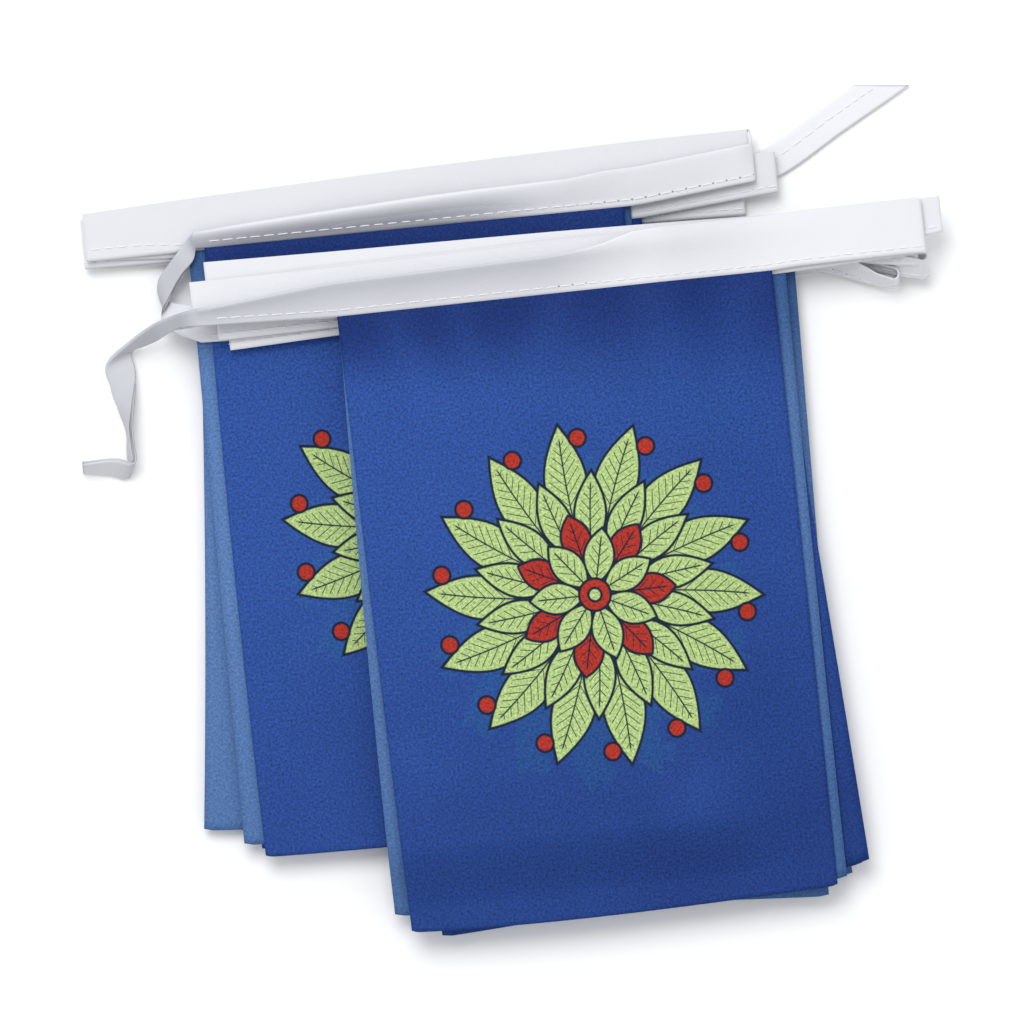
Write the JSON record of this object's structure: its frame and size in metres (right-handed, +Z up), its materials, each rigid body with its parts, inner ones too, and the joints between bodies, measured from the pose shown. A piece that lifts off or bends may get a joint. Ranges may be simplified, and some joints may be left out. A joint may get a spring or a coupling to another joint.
{
  "type": "folded flag bunting",
  "caption": "String of rectangular printed cloth flags on a white header tape, folded back and forth into overlapping flat stacks.",
  "frame": {"origin": "on the surface that the folded string lies on, under the middle of its bounding box", "axes": "+Z up from the surface, +Y towards the tape and the flags' heads, +X to the right when seen from above with the heads at the top"},
  "size_m": [0.2978, 0.2942, 0.0227],
  "materials": {
    "header_tape": "smooth white satin tape, softly glossy, folded over the flags' heads and stitched with white thread",
    "flag_face": "printed side of thin knitted polyester, royal blue, matte with a fine grain",
    "flag_reverse": "back of the same cloth, a paler and greyer blue where the print shows through"
  },
  "bodies": {
    "root": {"header_tape": "header_tape", "flag_back_1": "flag_face", "flag_back_2": "flag_reverse", "flag_back_3": "flag_face", "flag_back_4": "flag_reverse", "flag_back_5": "flag_face", "flag_back_6": "flag_reverse", "flag_back_7": "flag_face", "flag_front_1": "flag_reverse", "flag_front_2": "flag_face", "flag_front_3": "flag_reverse", "flag_front_4": "flag_face", "flag_front_5": "flag_reverse", "flag_front_6": "flag_face", "flag_front_7": "flag_reverse", "flag_front_8": "flag_face", "flag_front_9": "flag_reverse", "flag_front_10": "flag_face"}
  },
  "joints": []
}
